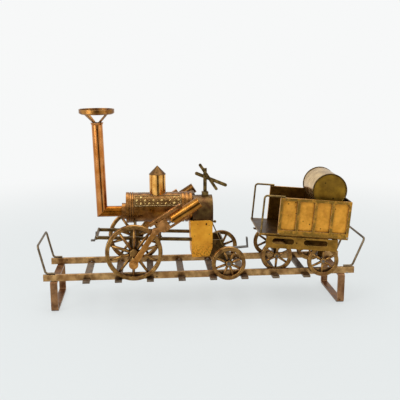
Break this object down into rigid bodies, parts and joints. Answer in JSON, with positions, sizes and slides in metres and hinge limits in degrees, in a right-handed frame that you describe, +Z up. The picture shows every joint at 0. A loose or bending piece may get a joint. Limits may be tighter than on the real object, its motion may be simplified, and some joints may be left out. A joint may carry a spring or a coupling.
{
  "type": "model steam locomotive",
  "caption": "Handmade brass and copper model steam engine with tall chimney, dome, boiler, rods, spoked wheels and a barrel tender on a short display track with wire end loops.",
  "frame": {"origin": "centre of the bounding box on the table surface, under the display track", "axes": "+X along the track from the chimney end to the tender end, +Y across the track away from the viewer's side, +Z up"},
  "size_m": [0.4544, 0.1186, 0.2728],
  "materials": {
    "track_rail": "brown patinated brass bar",
    "track_strip": "tarnished brass strip",
    "stand_strip": "tarnished brass strip",
    "end_wire": "dark wire",
    "frame_brass": "olive brown brass",
    "copper_bright": "bright copper tube",
    "boiler_copper": "brown patinated copper",
    "ornament_brass": "pressed brass",
    "crown_brass": "brown brass",
    "casing_brass": "bright rubbed brass",
    "wheel_brass": "brown cast brass",
    "rod_copper": "copper bar",
    "grey_steel": "dull steel",
    "tender_brass": "olive brass sheet",
    "panel_brass": "gold brown brass sheet",
    "barrel_brass": "pale brass sheet",
    "barrel_lid": "olive brass sheet",
    "lever_brass": "dull brass strip"
  },
  "bodies": {
    "track": {"rails": "track_rail", "sleepers": "track_strip", "end_stands": "stand_strip", "end_loops": "end_wire"},
    "locomotive": {"frame_bars": "frame_brass", "front_beam": "frame_brass", "hornplates": "frame_brass", "rear_carrier": "frame_brass", "coupling_hooks": "grey_steel", "boiler_shell": "boiler_copper", "boiler_front_plate": "boiler_copper", "boiler_saddles": "frame_brass", "flue_pipe": "copper_bright", "chimney_pipe": "copper_bright", "chimney_lip": "copper_bright", "crown_struts": "crown_brass", "crown_ring": "crown_brass", "dome_tube": "copper_bright", "dome_cap": "crown_brass", "relief_bands": "ornament_brass", "firebox_shell": "boiler_copper", "firebox_casing": "casing_brass", "grate": "grey_steel", "drain_knob": "lever_brass", "stay_rods": "lever_brass", "regulator_post": "lever_brass", "lever_pins": "lever_brass", "cylinder_brackets": "frame_brass", "boiler_hoops": "boiler_copper", "cylinders": "copper_bright", "slide_bars": "tender_brass"},
    "drive_wheelset": {"drive_axle": "grey_steel", "drive_wheels": "wheel_brass", "crank_pins": "rod_copper"},
    "rear_wheelset": {"rear_axle": "grey_steel", "rear_wheels": "wheel_brass"},
    "near_crosshead_set": {"near_crosshead": "grey_steel", "near_piston_rod": "grey_steel"},
    "far_crosshead_set": {"far_crosshead": "grey_steel", "far_piston_rod": "grey_steel"},
    "near_rod": {"near_connecting_rod": "rod_copper"},
    "far_rod": {"far_connecting_rod": "rod_copper"},
    "upper_lever_body": {"upper_lever": "lever_brass"},
    "lower_lever_body": {"lower_lever": "lever_brass"},
    "tender": {"tender_floor": "tender_brass", "tender_side_walls": "panel_brass", "tender_rear_wall": "panel_brass", "tender_chassis_plates": "tender_brass", "tender_chassis_members": "tender_brass", "tender_handrails": "lever_brass", "tender_drawbar": "tender_brass", "barrel_shell": "barrel_brass", "barrel_ends": "barrel_lid", "barrel_cradles": "tender_brass", "barrel_tap": "lever_brass"},
    "tender_front_wheelset": {"tender_front_wheels": "wheel_brass", "tender_front_axle": "grey_steel"},
    "tender_rear_wheelset": {"tender_rear_wheels": "wheel_brass", "tender_rear_axle": "grey_steel"}
  },
  "joints": [
    {"name": "locomotive_lift", "type": "slide", "parent": "track", "child": "locomotive", "axis": [0, 0, 1], "range_m": [0, 0.03]},
    {"name": "tender_lift", "type": "slide", "parent": "track", "child": "tender", "axis": [0, 0, 1], "range_m": [0, 0.03]},
    {"name": "drive_wheel_turn", "type": "hinge", "parent": "locomotive", "child": "drive_wheelset", "pos_m": [-0.09657, 0, 0.08157], "axis": [0, 1, 0], "range_deg": [-20, 20]},
    {"name": "near_crosshead_slide", "type": "slide", "parent": "locomotive", "child": "near_crosshead_set", "axis": [0.8434, 0, 0.5373], "range_m": [-0.003, 0.003]},
    {"name": "far_crosshead_slide", "type": "slide", "parent": "locomotive", "child": "far_crosshead_set", "axis": [0.8434, 0, 0.5373], "range_m": [-0.003, 0.003]},
    {"name": "near_rod_swing", "type": "hinge", "parent": "near_crosshead_set", "child": "near_rod", "pos_m": [-0.06717, -0.0518, 0.11257], "axis": [0, 1, 0], "range_deg": [-3.5, 3.5]},
    {"name": "far_rod_swing", "type": "hinge", "parent": "far_crosshead_set", "child": "far_rod", "pos_m": [-0.06717, 0.0518, 0.11257], "axis": [0, 1, 0], "range_deg": [-3.5, 3.5]},
    {"name": "rear_wheel_turn", "type": "hinge", "parent": "locomotive", "child": "rear_wheelset", "pos_m": [0.03318, 0, 0.06332], "axis": [0, 1, 0], "continuous": true},
    {"name": "upper_lever_swing", "type": "hinge", "parent": "locomotive", "child": "upper_lever_body", "pos_m": [0.00445, -0.00205, 0.1836], "axis": [0, 1, 0], "range_deg": [-35, 12]},
    {"name": "lower_lever_swing", "type": "hinge", "parent": "locomotive", "child": "lower_lever_body", "pos_m": [0.00445, 0.00205, 0.1767], "axis": [0, 1, 0], "range_deg": [-25, 25]},
    {"name": "tender_front_wheel_turn", "type": "hinge", "parent": "tender", "child": "tender_front_wheelset", "pos_m": [0.10354, 0.00619, 0.06863], "axis": [0.0262, 0.9997, 0], "continuous": true},
    {"name": "tender_rear_wheel_turn", "type": "hinge", "parent": "tender", "child": "tender_rear_wheelset", "pos_m": [0.16661, -0.00626, 0.06323], "axis": [0.0262, 0.9997, 0], "continuous": true}
  ],
  "couplings": [
    {"joint": "near_crosshead_slide", "follows": "drive_wheel_turn", "m_per_rad": -0.00814},
    {"joint": "far_crosshead_slide", "follows": "drive_wheel_turn", "m_per_rad": -0.00814},
    {"joint": "near_rod_swing", "follows": "drive_wheel_turn", "ratio": 0.163},
    {"joint": "far_rod_swing", "follows": "drive_wheel_turn", "ratio": 0.163}
  ]
}
